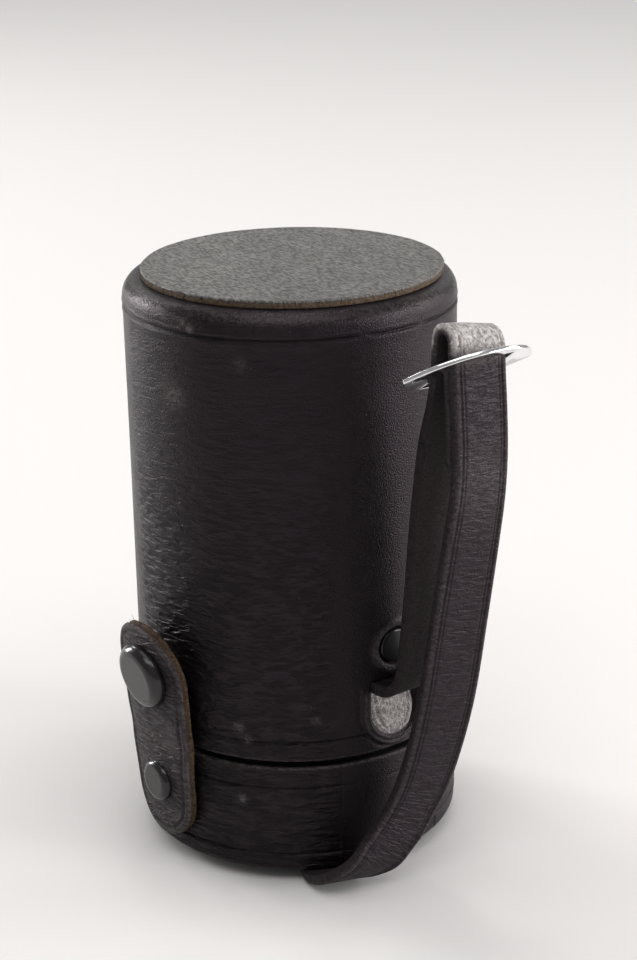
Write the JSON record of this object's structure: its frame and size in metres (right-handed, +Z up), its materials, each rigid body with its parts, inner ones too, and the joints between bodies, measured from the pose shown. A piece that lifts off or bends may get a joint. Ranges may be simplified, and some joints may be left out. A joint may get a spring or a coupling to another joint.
{
  "type": "lens case",
  "caption": "Tall round hard-leather lens case standing on its short lid, with a riveted snap flap, and a narrow carrying strap with a chrome slider folded up beside it.",
  "frame": {"origin": "centre of the standing face, on the surface that the case stands on, under the case axis", "axes": "+Z up along the case axis from lid to body end; -Y towards the snap flap; +X towards the strap run with the slider"},
  "size_m": [0.1169, 0.0828, 0.1348],
  "materials": {
    "case_leather": "black hard leather with pressed grain, satin",
    "disc_leather": "greyed black leather with a raw tan cut edge",
    "face_leather": "black leather, flush",
    "scoop_leather": "grained black leather, worn lighter",
    "fibre_board": "brown fibre board",
    "collar_board": "black lacquered fibre board",
    "pile_lining": "short red pile lining",
    "felt": "red felt pad",
    "flap_leather": "black grained leather with a raw tan edge",
    "strap_leather": "black strap leather with creased edges",
    "black_enamel": "glossy dark grey enamel",
    "nickel_brass": "nickel-plated brass",
    "steel_washer": "plated steel",
    "black_rivet": "black enamelled steel",
    "slider_chrome": "polished chrome plate"
  },
  "bodies": {
    "lid": {"lid_board_tube": "collar_board", "lid_end_board": "fibre_board", "lid_face_leather": "face_leather", "lid_felt_pad": "felt", "lid_leather_shell": "case_leather", "lid_lining_disc": "pile_lining", "lid_lining_tube": "pile_lining", "flap_root": "flap_leather", "flap_rivet_cap": "black_enamel", "flap_rivet_washer": "steel_washer", "strap_under_lid": "strap_leather", "strap_outer_leg_right": "strap_leather", "strap_outer_leg_left": "strap_leather"},
    "case_body": {"body_board_tube": "collar_board", "body_collar_tube": "collar_board", "body_end_board": "fibre_board", "body_end_disc": "disc_leather", "body_felt_pad": "felt", "body_leather_shell": "case_leather", "body_lining_disc": "pile_lining", "body_lining_tube": "pile_lining", "snap_stud": "nickel_brass", "snap_stud_washer": "nickel_brass", "strap_rivets": "black_rivet", "strap_rivet_washers": "steel_washer", "strap_scoop_right": "scoop_leather", "strap_scoop_left": "scoop_leather", "strap_end_right": "strap_leather", "strap_end_left": "strap_leather", "strap_inner_leg_right": "strap_leather", "strap_inner_leg_left": "strap_leather"},
    "flap": {"flap_tongue": "flap_leather", "snap_cap": "black_enamel", "snap_socket": "nickel_brass"},
    "fold_right": {"strap_fold_right": "strap_leather", "strap_tail": "strap_leather"},
    "fold_left": {"strap_fold_left": "strap_leather"},
    "slider": {"strap_slider": "slider_chrome"}
  },
  "joints": [
    {"name": "body_lift", "type": "slide", "parent": "lid", "child": "case_body", "axis": [0, 0, 1], "range_m": [0, 0.034], "deforming": ["strap_outer_leg_right", "strap_outer_leg_left", "strap_inner_leg_right", "strap_inner_leg_left"]},
    {"name": "fold_right_follow", "type": "slide", "parent": "lid", "child": "fold_right", "axis": [0, 0, 1], "range_m": [0, 0.017]},
    {"name": "fold_left_follow", "type": "slide", "parent": "lid", "child": "fold_left", "axis": [0, 0, 1], "range_m": [0, 0.017]},
    {"name": "slider_slide", "type": "slide", "parent": "fold_right", "child": "slider", "axis": [0, 0, 1], "range_m": [-0.003, 0]},
    {"name": "flap_hinge", "type": "hinge", "parent": "lid", "child": "flap", "pos_m": [0, -0.03945, 0.0306], "axis": [1, 0, 0], "range_deg": [-2, 120], "stiffness_Nm_per_rad": 0.004}
  ],
  "couplings": [
    {"joint": "fold_right_follow", "follows": "body_lift", "ratio": 0.5},
    {"joint": "fold_left_follow", "follows": "body_lift", "ratio": 0.5}
  ]
}
